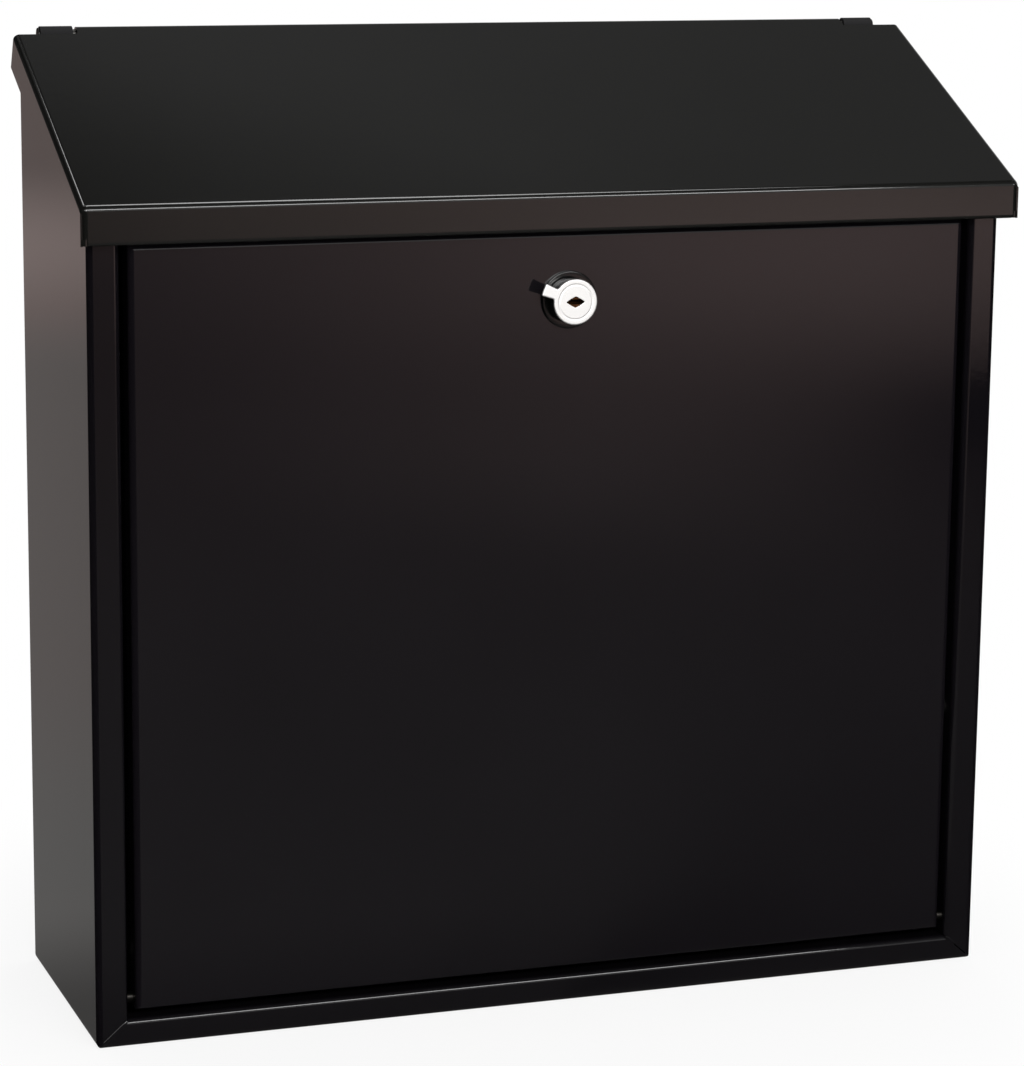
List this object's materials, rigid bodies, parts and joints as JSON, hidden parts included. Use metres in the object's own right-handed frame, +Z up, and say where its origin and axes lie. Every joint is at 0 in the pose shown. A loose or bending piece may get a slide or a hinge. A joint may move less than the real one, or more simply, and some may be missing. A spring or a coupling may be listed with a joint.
{
  "type": "wall mounted mailbox",
  "caption": "Folded steel wall mailbox with a sloping lid over the mail slot, a lockable door that drops forward and a rear panel with wall holes.",
  "frame": {"origin": "on the back face, at the centre of the four wall holes", "axes": "+X to the viewer's right, +Y into the wall, +Z up"},
  "size_m": [0.369, 0.121, 0.3721],
  "materials": {
    "box_paint": "satin black powder coat",
    "panel_paint": "satin black powder coat",
    "lid_paint": "semi gloss black powder coat",
    "door_paint": "semi gloss black powder coat",
    "rod_steel": "plain drawn steel",
    "pin_steel": "blackened turned steel",
    "collar_plastic": "matt black moulded",
    "lock_zinc": "black lacquered zinc casting",
    "shutter_nickel": "bright nickel plate",
    "ring_rubber": "matt moulded rubber",
    "plug_brass": "turned brass",
    "wafer_brass": "stamped brass",
    "spring_steel": "drawn spring wire",
    "nut_zinc": "zinc plated steel",
    "cam_zinc": "zinc plated steel"
  },
  "bodies": {
    "housing": {"body_shell": "box_paint", "back_panel": "panel_paint", "top_rail": "box_paint", "hinge_rod": "rod_steel", "door_pin_left": "pin_steel", "door_pin_right": "pin_steel"},
    "lid": {"lid": "lid_paint"},
    "door": {"door_panel": "door_paint", "lock_collar": "collar_plastic", "lock_housing": "lock_zinc", "lock_washer": "nut_zinc", "lock_nut": "nut_zinc", "shutter_ring": "ring_rubber"},
    "shutter": {"dust_shutter": "shutter_nickel"},
    "lock_core": {"lock_plug": "plug_brass", "plug_wafers": "wafer_brass", "wafer_springs": "spring_steel", "lock_cam": "cam_zinc", "cam_washer": "cam_zinc", "cam_screw": "cam_zinc"}
  },
  "joints": [
    {"name": "lid_hinge", "type": "hinge", "parent": "housing", "child": "lid", "pos_m": [0, -0.00296, 0.18417], "axis": [-1, 0, 0], "range_deg": [0, 110]},
    {"name": "door_hinge", "type": "hinge", "parent": "housing", "child": "door", "pos_m": [0, -0.1075, -0.167], "axis": [1, 0, 0], "range_deg": [0, 120]},
    {"name": "lock_turn", "type": "hinge", "parent": "door", "child": "lock_core", "pos_m": [0.0027, -0.112, 0.0906], "axis": [0, 1, 0], "range_deg": [0, 90]},
    {"name": "shutter_turn", "type": "hinge", "parent": "door", "child": "shutter", "pos_m": [0.0027, -0.112, 0.0906], "axis": [0, 1, 0], "range_deg": [0, 90]}
  ]
}
